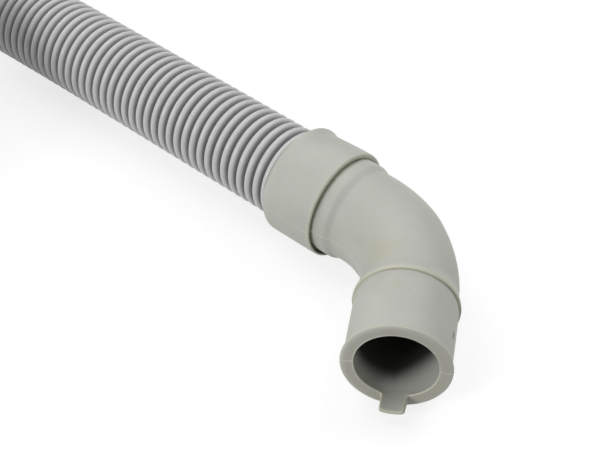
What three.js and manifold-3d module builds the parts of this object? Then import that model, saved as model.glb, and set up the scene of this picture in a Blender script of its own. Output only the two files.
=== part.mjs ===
// Dishwasher drain hose: corrugated hose with a moulded rubber elbow on the near end and a straight
// moulded end on the far end. Millimetres, +Z up. The elbow lies flat on its cuff: its mouth looks
// along -Y, its parting plane is level, and the hose leaves its cuff at a slant towards -X and +Y.
import * as THREE from "three";
import { mergeVertices } from "three/addons/utils/BufferGeometryUtils.js";
import Module from "manifold-3d";

const wasm = await Module();
wasm.setup();

// Driving dimensions of the two mouldings
const BORE_RADIUS = 10.3; // water way of both ends
const SPIGOT_RADIUS = 12.95; // sleeve that is pushed over the drain connection
const LIP_HEIGHT = 0.6; // the end lip stands this proud of the spigot
const LIP_LENGTH = 0.7;
const LIP_EDGE_RADIUS = 0.6;
const LIP_BLEND = 0.7; // slope from the lip down to the spigot
const SPIGOT_LENGTH = 19.8; // from the mouth's face to the bead
const BEAD_HEIGHT = 0.5; // lip at the end of the bend, over the spigot
const BEAD_STEP = 0.25;
const BEAD_LENGTH = 0.55;
const FLARE_LENGTH = 4.9; // the bend widens to the bead over this length
const BEND_TUBE_RADIUS = 12.43;
const BEND_CENTRE_RADIUS = 29.3; // of the centreline
const BEND_ANGLE = THREE.MathUtils.degToRad(57.6);
const SHOULDER_START = 1.5; // straight tube from the bend to the shoulder of the collar
const SHOULDER_LENGTH = 2.6;
const COLLAR_LENGTH = 3.4;
const COLLAR_HEIGHT = 0.86; // over the tube
const GROOVE_WIDTH = 0.6; // ring-shaped slot between the collar and the cuff's rim
const GROOVE_DEPTH = 3;
const RIM_EDGE_RADIUS = 0.72; // outer edge of the cuff's rim
const RIM_INNER_RADIUS = 0.3;
const CUFF_LENGTH = 17.7;
const CUFF_EDGE_RADIUS = 2.6; // rounded mouth of the cuff
const CUFF_WALL = 2.15;
const SOCKET_DEPTH = 13.4; // the hose goes this far into a cuff
const TONGUE_LENGTH = 4.9; // locating tab that carries the bore's floor on past the mouth
const TONGUE_WIDTH = 5.9;
const TONGUE_THICKNESS = 1.05;
const TONGUE_CORNER_RADIUS = 0.9;
const TONGUE_ROOT_FILLET = 0.8; // on the tab's inner side
const TONGUE_SMALL_FILLET = 0.25; // on its outer side
const TONGUE_EMBED = 1.5; // length of the tab that is fused into the elbow's wall
const STRAIGHT_SPIGOT_LENGTH = 16;
const STRAIGHT_SHOULDER_LENGTH = 2.6;

// Driving dimensions of the hose, its coil and the tie
const HOSE_RADIUS = 12.55; // over the crests of the rings
const HOSE_BORE_RADIUS = 9.9;
const COIL_RADIUS = 126.6; // middle of the turns
const COIL_START = 206.8; // from the cuff's mouth to where the hose meets the coil's circle
const TURN_GAP = 0.3; // between the upper turn and the lower one
const CLIMB_END = THREE.MathUtils.degToRad(340); // the hose has climbed onto its own lower turn
const LAST_RISE = 0.85; // past this share of the upper turn the hose rises to the straight end
const TIE_TURN = THREE.MathUtils.degToRad(118); // place of the tie, measured along the lower turn
const TIE_WIDTH = 4.8;
const TIE_THICKNESS = 1;
const TIE_HEAD = { width: 7, height: 6.5, depth: 3.6 };

// Clearance between pieces that touch
const CLEARANCE = 0.3;

// Faces
const ROUND_SEGMENTS = 36;
const BEND_STEPS = 12;
const EDGE_STEPS = 3;
const TONGUE_SEGMENTS = 10;
const COIL_SEGMENTS = 48;
const HOSE_SIDES = 12;
const RUN_STEPS = 8;
const UPPER_TURN_STEPS = 32;
const TIE_SEGMENTS = 10;

// Derived sizes
const lipRadius = SPIGOT_RADIUS + LIP_HEIGHT;
const beadRadius = SPIGOT_RADIUS + BEAD_HEIGHT;
const collarRadius = BEND_TUBE_RADIUS + COLLAR_HEIGHT;
const grooveRadius = collarRadius + GROOVE_WIDTH;
const socketRadius = HOSE_RADIUS + CLEARANCE;
const cuffRadius = socketRadius + CUFF_WALL;
const bendStart = SPIGOT_LENGTH + BEAD_STEP + BEAD_LENGTH + FLARE_LENGTH;
const bendLength = BEND_CENTRE_RADIUS * BEND_ANGLE;
const bendEnd = bendStart + bendLength;
const rimAt = bendEnd + SHOULDER_START + SHOULDER_LENGTH + COLLAR_LENGTH;
const cuffMouthAt = rimAt + CUFF_LENGTH;
const hoseHeading = Math.PI / 2 + BEND_ANGLE; // of the hose where it leaves the cuff, from +X
const lowerTurnZ = TIE_THICKNESS + CLEARANCE + HOSE_RADIUS;
const upperTurnZ = lowerTurnZ + 2 * HOSE_RADIUS + TURN_GAP;
const coilEndTurn = 4 * Math.PI - hoseHeading; // the far end then points along +X
const coilEndHeading = new THREE.Vector3(Math.cos(coilEndTurn), Math.sin(coilEndTurn), 0);
const straightEndZ = lowerTurnZ + HOSE_RADIUS + CLEARANCE + cuffRadius;

// Route of the hose from the socket's floor to the coil, as [distance from the cuff's mouth, height].
// It comes out straight, sinks a little onto the surface that the coil lies on, and stays there.
const HOSE_RUN = [
  [-13.1, 15], [-6, 15], [0, 15], [12, 15], [24, 15], [36, 15], [48, 15], [60, 15], [72, 15],
  [84, 15], [96, 14.9], [108, 14.65], [120, 14.3], [132, 14.05], [144, 13.9], [156, 13.85],
  [168, 13.85], [180, 13.85],
];

// Materials
const rubber = new THREE.MeshStandardMaterial({ color: 0xb6b9b0, roughness: 0.62, metalness: 0 });
const corrugatedPlastic = new THREE.MeshStandardMaterial({
  color: 0xc3c3c6,
  roughness: 0.42,
  metalness: 0,
});
const tiePlastic = new THREE.MeshStandardMaterial({ color: 0xe6e6e2, roughness: 0.5, metalness: 0 });

const point = (r, along) => new THREE.Vector2(r, along);

// Points of a rounded edge: an arc about (r, along) from one angle to another, in degrees.
function arc(r, along, radius, from, to, steps = EDGE_STEPS) {
  return Array.from({ length: steps + 1 }, (_, i) => {
    const a = THREE.MathUtils.degToRad(from + ((to - from) * i) / steps);
    return point(r + radius * Math.cos(a), along + radius * Math.sin(a));
  });
}

// Flat face and rounded lip of an open end, from the bore's edge to the spigot's wall.
function mouthProfile() {
  return [
    point(BORE_RADIUS, 0),
    ...arc(lipRadius - LIP_EDGE_RADIUS, LIP_EDGE_RADIUS, LIP_EDGE_RADIUS, -90, 0),
    point(lipRadius, LIP_LENGTH),
    point(SPIGOT_RADIUS, LIP_LENGTH + LIP_BLEND),
  ];
}

// Rounded mouth of a cuff and the socket behind it, from the cuff's wall back to the water way.
function socketProfile(mouthAt) {
  return [
    ...arc(cuffRadius - CUFF_EDGE_RADIUS, mouthAt - CUFF_EDGE_RADIUS, CUFF_EDGE_RADIUS, 0, 80, 5),
    point(socketRadius, mouthAt),
    point(socketRadius, mouthAt - SOCKET_DEPTH),
    point(BORE_RADIUS, mouthAt - SOCKET_DEPTH),
  ];
}

// Even stations along the bend, so that its wall and its water way can curve.
function bendStations(radius) {
  return Array.from({ length: BEND_STEPS + 1 }, (_, i) =>
    point(radius, bendStart + (bendLength * i) / BEND_STEPS),
  );
}

// Bead at the end of the bend: a step up from the spigot, then a hollow flare down to the tube.
function beadProfile() {
  const top = SPIGOT_LENGTH + BEAD_STEP;
  const drop = beadRadius - BEND_TUBE_RADIUS;
  const flare = [0, 0.25, 0.55].map((t) =>
    point(BEND_TUBE_RADIUS + drop * (1 - t) ** 2, top + BEAD_LENGTH + t * FLARE_LENGTH),
  );
  return [point(SPIGOT_RADIUS, SPIGOT_LENGTH), point(beadRadius, top), ...flare];
}

// Collar behind the bend, the ring-shaped groove round it and the rim of the cuff.
function collarProfile() {
  const shoulder = bendEnd + SHOULDER_START;
  return [
    point(BEND_TUBE_RADIUS, shoulder),
    point(BEND_TUBE_RADIUS + 0.3 * COLLAR_HEIGHT, shoulder + 0.45 * SHOULDER_LENGTH),
    point(collarRadius, shoulder + SHOULDER_LENGTH),
    point(collarRadius, rimAt + GROOVE_DEPTH),
    point(grooveRadius, rimAt + GROOVE_DEPTH),
    ...arc(grooveRadius + RIM_INNER_RADIUS, rimAt + RIM_INNER_RADIUS, RIM_INNER_RADIUS, -180, -90, 2),
    ...arc(cuffRadius - RIM_EDGE_RADIUS, rimAt + RIM_EDGE_RADIUS, RIM_EDGE_RADIUS, -90, 0),
  ];
}

// A merged closed geometry as a manifold solid.
function solidOf(geometry) {
  const bare = geometry.clone();
  bare.deleteAttribute("normal");
  bare.deleteAttribute("uv");
  const merged = mergeVertices(bare, 1e-4);
  return new wasm.Manifold(
    new wasm.Mesh({
      numProp: 3,
      vertProperties: new Float32Array(merged.attributes.position.array),
      triVerts: new Uint32Array(merged.index.array),
    }),
  );
}

// The vertices and triangles of a manifold solid as a geometry.
function geometryOf(solid) {
  const mesh = solid.getMesh();
  const geometry = new THREE.BufferGeometry();
  geometry.setAttribute("position", new THREE.BufferAttribute(mesh.vertProperties, 3));
  geometry.setIndex(new THREE.BufferAttribute(mesh.triVerts, 1));
  geometry.computeVertexNormals();
  return geometry;
}

// Point of the elbow's centreline and the heading of its outer side, a distance behind the mouth.
function elbowStation(along) {
  const angle = THREE.MathUtils.clamp((along - bendStart) / BEND_CENTRE_RADIUS, 0, BEND_ANGLE);
  const straight = Math.min(along, bendStart);
  const past = Math.max(along - bendEnd, 0);
  const centre = new THREE.Vector3(
    BEND_CENTRE_RADIUS * (Math.cos(angle) - 1) - past * Math.sin(angle),
    straight + BEND_CENTRE_RADIUS * Math.sin(angle) + past * Math.cos(angle),
    0,
  );
  return { centre, outward: new THREE.Vector3(Math.cos(angle), Math.sin(angle), 0) };
}

// Bends a turned shape along the elbow's centreline: its Y becomes the distance behind the mouth.
function bendAlongElbow(geometry) {
  const position = geometry.attributes.position;
  for (let i = 0; i < position.count; i++) {
    const { centre, outward } = elbowStation(position.getY(i));
    centre.addScaledVector(outward, position.getX(i));
    position.setXYZ(i, centre.x, centre.y, position.getZ(i));
  }
  return geometry;
}

// Locating tab: the bore's floor carried on past the face, with round corners and filleted roots.
// A strip of the bore's floor, wider than the tab, is trimmed by the tab's outline.
function tongueSolid() {
  const outer = BORE_RADIUS + TONGUE_THICKNESS;
  const half = 2 * Math.asin(TONGUE_WIDTH / 2 / BORE_RADIUS);
  const section = new THREE.Shape();
  section.absarc(0, 0, outer, -Math.PI / 2 - half, -Math.PI / 2 + half, false);
  section.absarc(0, 0, BORE_RADIUS, -Math.PI / 2 + half, -Math.PI / 2 - half, true);
  const strip = new THREE.ExtrudeGeometry(section, {
    depth: TONGUE_LENGTH + TONGUE_EMBED,
    bevelEnabled: false,
    curveSegments: TONGUE_SEGMENTS,
  });
  strip.rotateX(Math.PI / 2).translate(0, TONGUE_EMBED, 0);
  const w = TONGUE_WIDTH / 2;
  const c = TONGUE_CORNER_RADIUS;
  const f = TONGUE_ROOT_FILLET;
  const g = TONGUE_SMALL_FILLET;
  const plan = new THREE.Shape();
  plan.moveTo(-w - f, TONGUE_EMBED);
  plan.lineTo(-w - f, 0);
  plan.absarc(-w - f, -f, f, Math.PI / 2, 0, true);
  plan.absarc(-w + c, -TONGUE_LENGTH + c, c, Math.PI, Math.PI * 1.5, false);
  plan.absarc(w - c, -TONGUE_LENGTH + c, c, -Math.PI / 2, 0, false);
  plan.absarc(w + g, -g, g, Math.PI, Math.PI / 2, true);
  plan.lineTo(w + g, TONGUE_EMBED);
  const outline = new THREE.ExtrudeGeometry(plan, {
    depth: 2 * outer,
    bevelEnabled: false,
    curveSegments: EDGE_STEPS,
  });
  outline.translate(0, 0, -1.5 * outer);
  return solidOf(strip).intersect(solidOf(outline));
}

// One-piece elbow: mouth, spigot, bead, bend, collar, groove and cuff, turned and then bent.
function elbowGeometry() {
  const profile = [
    ...mouthProfile(),
    ...beadProfile(),
    ...bendStations(BEND_TUBE_RADIUS),
    ...collarProfile(),
    ...socketProfile(cuffMouthAt),
    ...bendStations(BORE_RADIUS).reverse(),
    point(BORE_RADIUS, 0),
  ];
  const turned = bendAlongElbow(new THREE.LatheGeometry(profile, ROUND_SEGMENTS));
  return geometryOf(solidOf(turned).add(tongueSolid()));
}

// Straight end with the same lip, spigot, cuff and socket as the elbow, along +Y from its mouth.
function straightEndGeometry() {
  const shoulderTop = STRAIGHT_SPIGOT_LENGTH + STRAIGHT_SHOULDER_LENGTH;
  const mouthAt = shoulderTop + CUFF_LENGTH;
  const profile = [
    ...mouthProfile(),
    point(SPIGOT_RADIUS, STRAIGHT_SPIGOT_LENGTH),
    point((SPIGOT_RADIUS + cuffRadius) / 2, STRAIGHT_SPIGOT_LENGTH + 0.3 * STRAIGHT_SHOULDER_LENGTH),
    point(cuffRadius, shoulderTop),
    ...socketProfile(mouthAt),
    point(BORE_RADIUS, 0),
  ];
  return new THREE.LatheGeometry(profile, ROUND_SEGMENTS);
}

// Outline of one turn of hose in the coil, grown by a margin, as a closed profile about Z.
function turnProfile(margin = 0) {
  return arc(COIL_RADIUS, 0, HOSE_RADIUS + margin, -180, 180, HOSE_SIDES);
}

// Closed ring that the lower turn of the hose fills.
function coilRing(margin = 0) {
  const ring = new THREE.LatheGeometry(turnProfile(margin), COIL_SEGMENTS);
  return ring.rotateX(Math.PI / 2).translate(COIL_START, COIL_RADIUS, lowerTurnZ);
}

// Section of the hose as a plain tube.
function hoseSection() {
  const section = new THREE.Shape();
  section.absarc(0, 0, HOSE_RADIUS, 0, 2 * Math.PI, false);
  const bore = new THREE.Path();
  bore.absarc(0, 0, HOSE_BORE_RADIUS, 0, 2 * Math.PI, true);
  section.holes.push(bore);
  return section;
}

// Plain tube of the hose's section along a list of points.
function hoseTube(points, steps) {
  return new THREE.ExtrudeGeometry(hoseSection(), {
    steps,
    curveSegments: HOSE_SIDES,
    bevelEnabled: false,
    extrudePath: new THREE.CatmullRomCurve3(points, false, "centripetal"),
  });
}

// Place on the coil's circle after a turn, in the plane of the surface that it lies on.
function coilPoint(turn, z) {
  return new THREE.Vector3(
    COIL_START + COIL_RADIUS * Math.sin(turn),
    COIL_RADIUS * (1 - Math.cos(turn)),
    z,
  );
}

// Straight run from the elbow's cuff to the coil, ending clear of the ring.
function runGeometry() {
  const points = HOSE_RUN.map(([along, z]) => new THREE.Vector3(along, 0, z));
  return geometryOf(solidOf(hoseTube(points, RUN_STEPS)).subtract(solidOf(coilRing(CLEARANCE))));
}

// Upper turn: from the top of the climb round to the straight end, which it enters straight.
function upperTurnGeometry() {
  const points = [];
  const rise = straightEndZ - upperTurnZ;
  for (let i = 0; i <= UPPER_TURN_STEPS; i++) {
    const t = i / UPPER_TURN_STEPS;
    const lifted = THREE.MathUtils.smoothstep(t, LAST_RISE, 1);
    points.push(coilPoint(CLIMB_END + (coilEndTurn - CLIMB_END) * t, upperTurnZ + rise * lifted));
  }
  const end = points[points.length - 1];
  const seat = SOCKET_DEPTH - CLEARANCE;
  points.push(end.clone().addScaledVector(coilEndHeading, seat / 2));
  points.push(end.clone().addScaledVector(coilEndHeading, seat));
  return hoseTube(points, UPPER_TURN_STEPS + 2);
}

// Rounded outline that both turns fit in, drawn in the plane of the tie.
function tieOutline(margin, Kind) {
  const r = HOSE_RADIUS + margin;
  const outline = new Kind();
  outline.absarc(0, lowerTurnZ, r, Math.PI, 2 * Math.PI, false);
  outline.absarc(0, upperTurnZ, r, 0, Math.PI, false);
  outline.closePath();
  return outline;
}

// Flat strap round both turns with the head that holds its end, on the coil's outer side.
function tieGeometry() {
  const band = tieOutline(CLEARANCE + TIE_THICKNESS, THREE.Shape);
  band.holes.push(tieOutline(CLEARANCE, THREE.Path));
  const strap = new THREE.ExtrudeGeometry(band, {
    depth: TIE_WIDTH,
    bevelEnabled: false,
    curveSegments: TIE_SEGMENTS,
  });
  strap.translate(0, 0, -TIE_WIDTH / 2);
  const { width, height, depth } = TIE_HEAD;
  const head = new THREE.BoxGeometry(depth, height, width);
  const reach = HOSE_RADIUS + CLEARANCE + TIE_THICKNESS / 2 + depth / 2;
  head.translate(reach, (lowerTurnZ + upperTurnZ) / 2, 0);
  const tie = geometryOf(solidOf(strap).add(solidOf(head)));
  return tie.rotateX(Math.PI / 2);
}

function named(name, geometry, material) {
  const mesh = new THREE.Mesh(geometry, material);
  mesh.name = name;
  return mesh;
}

// Elbow with its mouth's centre at the group's origin, at the height of its cuff
const part = new THREE.Group();
const elbow = named("elbow_end", elbowGeometry(), rubber);
elbow.position.z = cuffRadius;
part.add(elbow);

// Everything that lies behind the cuff, in a frame at the cuff's mouth with X along the hose
const behindCuff = new THREE.Group();
behindCuff.position.copy(elbowStation(cuffMouthAt).centre);
behindCuff.rotation.z = hoseHeading;
part.add(behindCuff);
behindCuff.add(named("drain_hose", runGeometry(), corrugatedPlastic));
behindCuff.add(named("hose_coil", coilRing(), corrugatedPlastic));
behindCuff.add(named("hose_upper_turn", upperTurnGeometry(), corrugatedPlastic));

const straightEnd = named("straight_end", straightEndGeometry(), rubber);
const socketAt = STRAIGHT_SPIGOT_LENGTH + STRAIGHT_SHOULDER_LENGTH + CUFF_LENGTH;
straightEnd.position.copy(coilPoint(coilEndTurn, straightEndZ));
straightEnd.position.addScaledVector(coilEndHeading, socketAt);
straightEnd.rotation.z = coilEndTurn + Math.PI / 2;
behindCuff.add(straightEnd);

const tie = named("coil_tie", tieGeometry(), tiePlastic);
tie.position.copy(coilPoint(TIE_TURN, 0));
tie.rotation.z = TIE_TURN - Math.PI / 2;
behindCuff.add(tie);

// The part's origin is under the middle of the elbow's own box, on the surface that it lies on
part.updateMatrixWorld(true);
const middle = new THREE.Box3().setFromObject(elbow, true).getCenter(new THREE.Vector3());
part.position.set(-middle.x, -middle.y, 0);

export default part;
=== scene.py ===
"""Looks of a dishwasher drain hose: a corrugated hose with a moulded rubber elbow and a straight end.

Every length is in metres. The elbow lies on its cuff with its parting plane level, its mouth looks
along -Y, and the spare length of hose lies in a tied coil behind it.
"""

import logging
import math
from dataclasses import dataclass, field
from enum import Enum

import bpy
import numpy as np
from mathutils import Matrix, Vector

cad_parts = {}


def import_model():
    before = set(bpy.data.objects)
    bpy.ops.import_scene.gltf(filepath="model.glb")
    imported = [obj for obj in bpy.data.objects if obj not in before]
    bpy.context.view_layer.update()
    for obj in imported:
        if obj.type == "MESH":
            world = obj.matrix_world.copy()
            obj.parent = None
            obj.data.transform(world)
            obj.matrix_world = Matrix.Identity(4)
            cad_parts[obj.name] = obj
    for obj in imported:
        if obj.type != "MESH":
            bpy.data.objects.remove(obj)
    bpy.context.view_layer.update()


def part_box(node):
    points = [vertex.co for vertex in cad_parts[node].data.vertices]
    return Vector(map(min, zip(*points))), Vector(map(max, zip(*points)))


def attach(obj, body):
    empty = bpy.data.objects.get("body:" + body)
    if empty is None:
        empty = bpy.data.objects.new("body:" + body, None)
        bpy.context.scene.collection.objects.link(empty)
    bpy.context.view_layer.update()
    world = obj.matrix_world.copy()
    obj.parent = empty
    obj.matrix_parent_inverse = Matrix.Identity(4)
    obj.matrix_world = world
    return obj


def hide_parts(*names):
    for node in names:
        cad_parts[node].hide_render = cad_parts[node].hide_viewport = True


LOG = logging.getLogger("drain_hose")
MM = 0.001
FULL_TURN = 2 * math.pi
Tree = bpy.types.NodeTree
Node = bpy.types.Node
Socket = bpy.types.NodeSocket
Point = tuple[float, float, float]
# Rows of distance from the axis and place along it, and how much painted edge highlight they get
Stretch = tuple[np.ndarray, float]


class Tone(Enum):
    """Colours of the object and of the studio, as sRGB hex values."""

    RUBBER = "#babcb4"
    RUBBER_SHADE = "#b3b5ad"
    # Painted highlight on edges, and painted light in the groove
    EDGE_HIGHLIGHT = "#c5c4b1"
    PARTING_LINE = "#cfd0c6"
    # Tan dirt with painted shade on the mouth's face
    GRIME_AND_SHADE = "#8c8671"
    STAIN = "#b0ae97"
    SCUFF = "#d6d7cf"
    DARK_SPOT = "#6f716b"
    # Painted shade deeper in the bore
    BORE_SHADE = "#2e2e2b"
    HOSE = "#c8c8c8"
    # Dust and painted shade in the hose's valleys
    HOSE_VALLEY_DUST_AND_SHADE = "#8c898a"
    NYLON = "#e6e6e2"
    FLOOR = "#d4d4d2"
    WHITE = "#ffffff"


def linear(tone: Tone) -> tuple[float, float, float, float]:
    """Turns an sRGB hex value into a linear colour.

    Args:
        tone: the named colour.

    Returns:
        Red, green, blue and an alpha of one.
    """
    text = tone.value.lstrip("#")
    channels = [int(text[i : i + 2], 16) / 255 for i in (0, 2, 4)]
    values = [c / 12.92 if c <= 0.04045 else ((c + 0.055) / 1.055) ** 2.4 for c in channels]
    return (*values, 1.0)


def feed(tree: Tree, socket: Socket, value: object) -> None:
    """Links an input to the socket that feeds it, or sets it to a plain value.

    Args:
        tree: the node tree.
        socket: the input.
        value: the socket that feeds it, or its value.
    """
    if isinstance(value, Socket):
        tree.links.new(value, socket)
    else:
        socket.default_value = value


def add_node(tree: Tree, kind: str, inputs: dict | None = None, **settings) -> Node:
    """Adds a node, sets it up and feeds its inputs.

    Args:
        tree: the node tree that the node goes into.
        kind: the node's type name.
        inputs: input name or number to the socket that feeds it, or to its plain value.
        settings: properties of the node itself.

    Returns:
        The new node.
    """
    node = tree.nodes.new(kind)
    for name, value in settings.items():
        setattr(node, name, value)
    for name, value in (inputs or {}).items():
        feed(tree, node.inputs[name], value)
    return node


def painted(tree: Tree, base: object, layers: list[tuple[Socket, Tone]]) -> Socket:
    """Lays tones over a base colour, one after the other.

    Args:
        tree: the node tree.
        base: the colour underneath.
        layers: for each tone, the socket that gives how much of it shows.

    Returns:
        The socket of the finished colour.
    """
    for share, tone in layers:
        inputs = {0: share, 6: base, 7: linear(tone)}
        base = add_node(tree, "ShaderNodeMix", inputs, data_type="RGBA").outputs[2]
    return base


@dataclass(frozen=True)
class Finish:
    """What the finishes share: a material whose roughness follows slight clouds."""

    name: str
    ior: float
    roughness: float
    spread: tuple[float, float]
    cloud: float
    detail: float
    cloud_span: tuple[float, float] = (0.3, 0.7)

    def material(self) -> bpy.types.Material:
        """Builds the node material.

        Returns:
            The finished material.
        """
        material = bpy.data.materials.new(self.name)
        material.use_nodes = True
        tree = material.node_tree
        shader = tree.nodes["Principled BSDF"]
        place = add_node(tree, "ShaderNodeTexCoord").outputs["Object"]
        noise = {"Vector": place, "Scale": 1 / self.cloud, "Detail": self.detail}
        cloud = add_node(tree, "ShaderNodeTexNoise", noise).outputs["Fac"]
        low, high = (self.roughness + change for change in self.spread)
        ends = {0: cloud, 1: self.cloud_span[0], 2: self.cloud_span[1], 3: low, 4: high}
        rough = add_node(tree, "ShaderNodeMapRange", ends, interpolation_type="SMOOTHSTEP")
        feed(tree, shader.inputs["Roughness"], rough.outputs[0])
        feed(tree, shader.inputs["IOR"], self.ior)
        self.dress(tree, shader, place, cloud)
        return material

    def dress(self, tree: Tree, shader: Node, place: Socket, cloud: Socket) -> None:
        """Adds the finish's own colour and surface.

        Args:
            tree: the material's node tree.
            shader: the node that they go into.
            place: the socket of the Object coordinates.
            cloud: the socket of the clouds.
        """
        raise NotImplementedError


@dataclass(frozen=True)
class Mark:
    """A round mark on a surface, such as a stain or a scuff."""

    centre: Point
    radius: float
    strength: float
    tone: Tone


@dataclass(frozen=True)
class MouldedRubber(Finish):
    """Matte grey-green EPDM rubber from a two-part mould: soft grain, painted edge highlights, a pale parting
    line.
    """

    name: str = "moulded_epdm_rubber"
    ior: float = 1.5
    roughness: float = 0.6
    spread: tuple[float, float] = (-0.05, 0.05)
    cloud: float = 16 * MM
    detail: float = 3.0
    grain: float = 0.35 * MM
    scuff_spacing: float = 9 * MM
    scuff_radius: float = 0.17 * MM
    scuff_core: float = 0.5
    scuff_strength: float = 0.7
    mark_core: float = 0.3
    tone_span: tuple[float, float] = (0.35, 0.65)
    grain_strength: float = 0.25
    grain_depth: float = 0.02 * MM
    marks: tuple[Mark, ...] = ()

    def dress(self, tree: Tree, shader: Node, place: Socket, cloud: Socket) -> None:
        """Adds clouds, marks, scuffs, tan dirt with painted shade, painted edge highlights, the parting line,
        painted shade in the bore and the grain.

        Args:
            tree: the material's node tree.
            shader: the node that they go into.
            place: the socket of the Object coordinates.
            cloud: the socket of the clouds.
        """
        # Slight clouds in the compound keep the wide surfaces from looking flat
        spans = [({0: cloud, 1: self.tone_span[0], 2: self.tone_span[1]}, Tone.RUBBER)]
        for mark in self.marks:
            away = add_node(tree, "ShaderNodeVectorMath", {0: place, 1: mark.centre}, operation="DISTANCE")
            ends = {1: mark.radius, 2: self.mark_core * mark.radius, 4: mark.strength}
            spans.append(({0: away.outputs["Value"], **ends}, mark.tone))
        # Tiny pale scuffs, far apart, as a handled rubber part has them
        cells = {"Vector": place, "Scale": 1 / self.scuff_spacing}
        scuff = add_node(tree, "ShaderNodeTexVoronoi", cells).outputs["Distance"]
        reach = self.scuff_radius / self.scuff_spacing
        ends = {1: reach, 2: self.scuff_core * reach, 4: self.scuff_strength}
        spans.append(({0: scuff, **ends}, Tone.SCUFF))
        layers = [
            (add_node(tree, "ShaderNodeMapRange", span, interpolation_type="SMOOTHSTEP").outputs[0], tone)
            for span, tone in spans
        ]
        # Tan dirt with painted shade on the mouth, a paler, yellower painted highlight on edges and in the
        # groove, and painted shade that deepens into the bore
        shown = {
            "grime": Tone.GRIME_AND_SHADE,
            "edge": Tone.EDGE_HIGHLIGHT,
            "flash": Tone.PARTING_LINE,
            "residue": Tone.BORE_SHADE,
        }
        layers += [
            (add_node(tree, "ShaderNodeAttribute", attribute_name=name).outputs["Fac"], tone)
            for name, tone in shown.items()
        ]
        feed(tree, shader.inputs["Base Color"], painted(tree, linear(Tone.RUBBER_SHADE), layers))
        noise = {"Vector": place, "Scale": 1 / self.grain, "Detail": 2.0}
        grain = add_node(tree, "ShaderNodeTexNoise", noise).outputs["Fac"]
        relief = {"Height": grain, "Strength": self.grain_strength, "Distance": self.grain_depth}
        bump = add_node(tree, "ShaderNodeBump", relief)
        feed(tree, shader.inputs["Normal"], bump.outputs["Normal"])


@dataclass(frozen=True)
class BlownPolypropylene(Finish):
    """Light grey blow-moulded polypropylene: half gloss on the rings, with dust and painted shade in the
    valleys.
    """

    name: str = "blow_moulded_polypropylene"
    ior: float = 1.49
    roughness: float = 0.38
    spread: tuple[float, float] = (-0.06, 0.08)
    cloud: float = 5 * MM
    detail: float = 4.0
    skin_strength: float = 0.2
    skin_depth: float = 0.05 * MM

    def dress(self, tree: Tree, shader: Node, place: Socket, cloud: Socket) -> None:
        """Adds the colour, darkened towards the valleys by dust and painted shade, and the uneven skin of a
        blown wall.

        Args:
            tree: the material's node tree.
            shader: the node that they go into.
            place: the socket of the Object coordinates.
            cloud: the socket of the clouds.
        """
        valley = add_node(tree, "ShaderNodeAttribute", attribute_name="valley").outputs["Fac"]
        colour = painted(tree, linear(Tone.HOSE), [(valley, Tone.HOSE_VALLEY_DUST_AND_SHADE)])
        feed(tree, shader.inputs["Base Color"], colour)
        relief = {"Height": cloud, "Strength": self.skin_strength, "Distance": self.skin_depth}
        bump = add_node(tree, "ShaderNodeBump", relief)
        feed(tree, shader.inputs["Normal"], bump.outputs["Normal"])


@dataclass(frozen=True)
class NaturalNylon(Finish):
    """Undyed nylon 6/6 of a moulded cable tie: smooth, milky and a little cloudy."""

    name: str = "natural_nylon"
    ior: float = 1.53
    roughness: float = 0.42
    spread: tuple[float, float] = (-0.08, 0.08)
    cloud: float = 3 * MM
    detail: float = 2.0

    def dress(self, tree: Tree, shader: Node, place: Socket, cloud: Socket) -> None:
        """Adds the milky colour."""
        feed(tree, shader.inputs["Base Color"], linear(Tone.NYLON))


def mesh_piece(
    name: str,
    vertices: np.ndarray,
    faces: list[np.ndarray],
    material: bpy.types.Material,
    sharp_angle: float,
    **attributes: np.ndarray,
) -> bpy.types.Object:
    """Makes a smooth mesh object at the origin.

    Args:
        name: the piece's name.
        vertices: points, one row each.
        faces: arrays of corner numbers, each with three or four columns.
        material: the piece's finish.
        sharp_angle: edges that turn by more degrees than this stay sharp.
        attributes: one number a vertex, by name.

    Returns:
        The new object.
    """
    mesh = bpy.data.meshes.new(name)
    mesh.from_pydata(vertices.tolist(), [], [corner for block in faces for corner in block.tolist()])
    for key, values in attributes.items():
        layer = mesh.attributes.new(key, "FLOAT", "POINT")
        layer.data.foreach_set("value", values.astype(np.float32).ravel())
    mesh.materials.append(material)
    mesh.shade_smooth()
    mesh.set_sharp_from_angle(angle=math.radians(sharp_angle))
    mesh.update()
    piece = bpy.data.objects.new(name, mesh)
    bpy.context.scene.collection.objects.link(piece)
    return piece


def grid_faces(rows: int, columns: int, first: int = 0, closed_rows: bool = False) -> np.ndarray:
    """Corner numbers of a grid whose columns run round and close.

    Args:
        rows: number of rows.
        columns: number of columns.
        first: number of the grid's first vertex.
        closed_rows: whether the last row joins the first.

    Returns:
        An array of quads.
    """
    i, j = np.meshgrid(np.arange(rows if closed_rows else rows - 1), np.arange(columns), indexing="ij")
    below, above = i * columns, ((i + 1) % rows) * columns
    side = (j + 1) % columns
    return np.stack([below + j, above + j, above + side, below + side], axis=-1).reshape(-1, 4) + first


def halving_faces(fine: int, coarse: int, columns: int, to_coarse: bool) -> np.ndarray:
    """Triangles between a row of vertices and a row with half as many.

    Args:
        fine: number of the fine row's first vertex.
        coarse: number of the coarse row's first vertex.
        columns: how many vertices the coarse row has.
        to_coarse: whether the coarse row follows the fine one along the tube.

    Returns:
        An array of triangles.
    """
    j = np.arange(columns)
    here, there = coarse + j, coarse + (j + 1) % columns
    a, b, c = fine + 2 * j, fine + 2 * j + 1, fine + (2 * j + 2) % (2 * columns)
    corners = ((a, here, b), (b, here, there), (b, there, c))
    triangles = np.concatenate([np.stack(three, axis=-1) for three in corners])
    return triangles if to_coarse else triangles[:, ::-1]


def rows(radius: object, along: object) -> np.ndarray:
    """Rows of distance from the axis and place along it, from the two as arrays or numbers."""
    return np.stack(np.broadcast_arrays(radius, along), axis=-1)


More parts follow.
